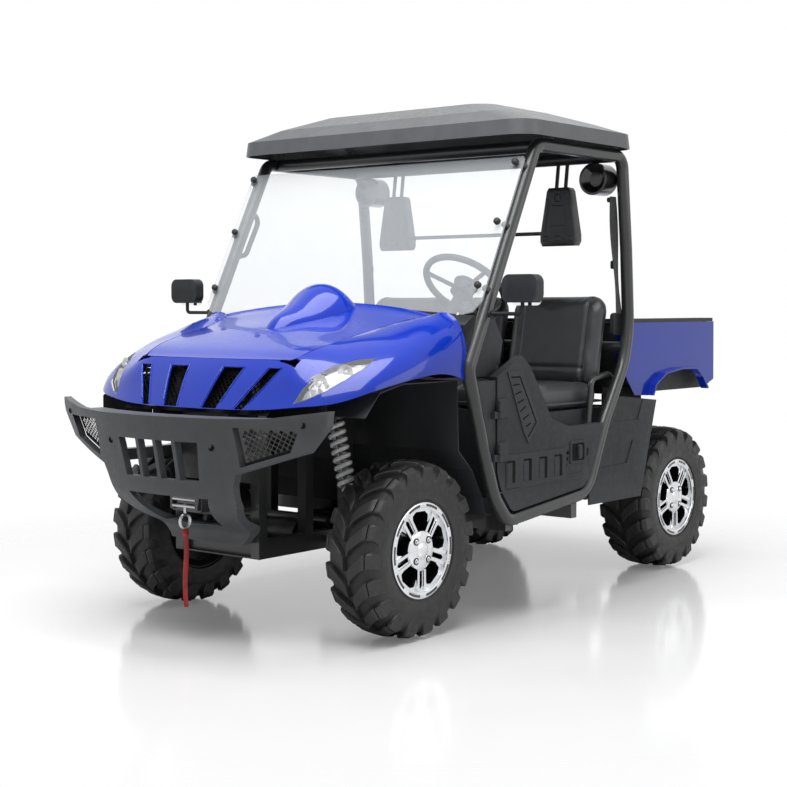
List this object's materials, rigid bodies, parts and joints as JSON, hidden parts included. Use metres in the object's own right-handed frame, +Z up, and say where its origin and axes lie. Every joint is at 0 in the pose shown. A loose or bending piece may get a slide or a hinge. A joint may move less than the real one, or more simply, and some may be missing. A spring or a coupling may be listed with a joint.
{
  "type": "side by side utility vehicle",
  "caption": "Open utility vehicle with a tubular cage, roof, windshield, bench seats, low doors, a hood with an air scoop, knobbly tyres and a tilting cargo bed.",
  "frame": {"origin": "on the ground, at the bottom centre of the overall box", "axes": "+X to the driver's side, the left as the driver sits; -Y forward; +Z up"},
  "size_m": [1.854, 2.9141, 1.955],
  "materials": {
    "tyre": "rubber, deep lugs",
    "rim": "polished",
    "dark_metal": "satin black",
    "blue": "glossy royal blue",
    "plastic": "grained black",
    "gloss_black": "gloss black",
    "clear": "clear sheet",
    "lens": "clear lens",
    "red_lens": "red lens",
    "vinyl": "black vinyl",
    "steel": "bare",
    "spring": "white",
    "cast": "rough",
    "rubber": "matt",
    "strap": "woven red",
    "belt": "woven black",
    "mirror": "black shell"
  },
  "bodies": {
    "vehicle": {"rear_hub_carriers": "cast", "suspension_arms": "dark_metal", "shock_dampers": "steel", "shock_springs": "spring", "drive_shafts": "steel", "roll_cage": "dark_metal", "windshield": "clear", "chassis_frame": "dark_metal", "floor_tub": "plastic", "side_panels": "plastic", "seat_cushions": "vinyl", "seat_backs": "vinyl", "seat_base": "plastic", "headrests": "vinyl", "headrest_rods": "steel", "steering_column": "plastic", "nose_panel": "blue", "front_fenders": "blue", "headlamps": "lens", "nose_mesh": "gloss_black", "wheel_arches": "plastic", "dashboard": "plastic", "front_bumper": "plastic", "bumper_mesh": "gloss_black", "winch": "steel", "winch_hook": "steel", "winch_strap": "strap", "skid_plate": "steel", "shift_levers": "gloss_black", "side_mirrors": "mirror", "speaker_pods": "gloss_black", "grab_handle": "dark_metal", "hip_bars": "dark_metal", "seat_belts": "belt", "roof_panel": "plastic", "engine": "cast", "radiator": "steel", "muffler": "steel", "tow_hitch": "dark_metal"},
    "knuckle_left_body": {"knuckle_left": "cast"},
    "knuckle_right_body": {"knuckle_right": "cast"},
    "wheel_front_left": {"tyre_front_left": "tyre", "rim_front_left": "rim"},
    "wheel_front_right": {"tyre_front_right": "tyre", "rim_front_right": "rim"},
    "wheel_rear_left": {"tyre_rear_left": "tyre", "rim_rear_left": "rim"},
    "wheel_rear_right": {"tyre_rear_right": "tyre", "rim_rear_right": "rim"},
    "steering_wheel_body": {"steering_wheel": "rubber"},
    "tie_rod_body": {"tie_rods": "steel"},
    "door_left_body": {"door_left": "plastic"},
    "door_right_body": {"door_right": "plastic"},
    "hood_body": {"hood": "blue"},
    "bed": {"bed_tub": "plastic", "bed_sides": "blue", "bed_rails": "plastic", "tail_lamps": "red_lens"},
    "tailgate_body": {"tailgate": "blue"}
  },
  "joints": [
    {"name": "steer_left", "type": "hinge", "parent": "vehicle", "child": "knuckle_left_body", "pos_m": [0.5, -0.77, 0.315], "axis": [0, 0, 1], "range_deg": [-30, 30]},
    {"name": "steer_right", "type": "hinge", "parent": "vehicle", "child": "knuckle_right_body", "pos_m": [-0.5, -0.77, 0.315], "axis": [0, 0, 1], "range_deg": [-30, 30]},
    {"name": "tie_rod_slide", "type": "slide", "parent": "vehicle", "child": "tie_rod_body", "axis": [-1, 0, 0], "range_m": [-0.0367, 0.0367]},
    {"name": "steering_wheel_turn", "type": "hinge", "parent": "vehicle", "child": "steering_wheel_body", "pos_m": [0.38, -0.165, 1.245], "axis": [0, 0.6756, 0.7373], "range_deg": [-240, 240]},
    {"name": "front_left_spin", "type": "hinge", "parent": "knuckle_left_body", "child": "wheel_front_left", "pos_m": [0.548, -0.77, 0.315], "axis": [1, 0, 0], "continuous": true},
    {"name": "front_right_spin", "type": "hinge", "parent": "knuckle_right_body", "child": "wheel_front_right", "pos_m": [-0.548, -0.77, 0.315], "axis": [1, 0, 0], "continuous": true},
    {"name": "rear_left_spin", "type": "hinge", "parent": "vehicle", "child": "wheel_rear_left", "pos_m": [0.491, 1.14, 0.315], "axis": [1, 0, 0], "continuous": true},
    {"name": "rear_right_spin", "type": "hinge", "parent": "vehicle", "child": "wheel_rear_right", "pos_m": [-0.491, 1.14, 0.315], "axis": [1, 0, 0], "continuous": true},
    {"name": "door_left_hinge", "type": "hinge", "parent": "vehicle", "child": "door_left_body", "pos_m": [0.72, -0.413, 0.71], "axis": [0, 0, -1], "range_deg": [0, 70]},
    {"name": "door_right_hinge", "type": "hinge", "parent": "vehicle", "child": "door_right_body", "pos_m": [-0.72, -0.413, 0.71], "axis": [0, 0, 1], "range_deg": [0, 70]},
    {"name": "hood_hinge", "type": "hinge", "parent": "vehicle", "child": "hood_body", "pos_m": [0, -1.122, 0.96], "axis": [1, 0, 0], "range_deg": [0, 50]},
    {"name": "bed_tilt", "type": "hinge", "parent": "vehicle", "child": "bed", "pos_m": [0, 1.275, 0.69], "axis": [-1, 0, 0], "range_deg": [0, 38]},
    {"name": "tailgate_hinge", "type": "hinge", "parent": "bed", "child": "tailgate_body", "pos_m": [0, 1.39, 0.835], "axis": [-1, 0, 0], "range_deg": [0, 90]}
  ],
  "couplings": [
    {"joint": "steer_right", "follows": "steer_left", "ratio": 1},
    {"joint": "tie_rod_slide", "follows": "steer_left", "m_per_rad": 0.07},
    {"joint": "steering_wheel_turn", "follows": "steer_left", "ratio": 8}
  ]
}
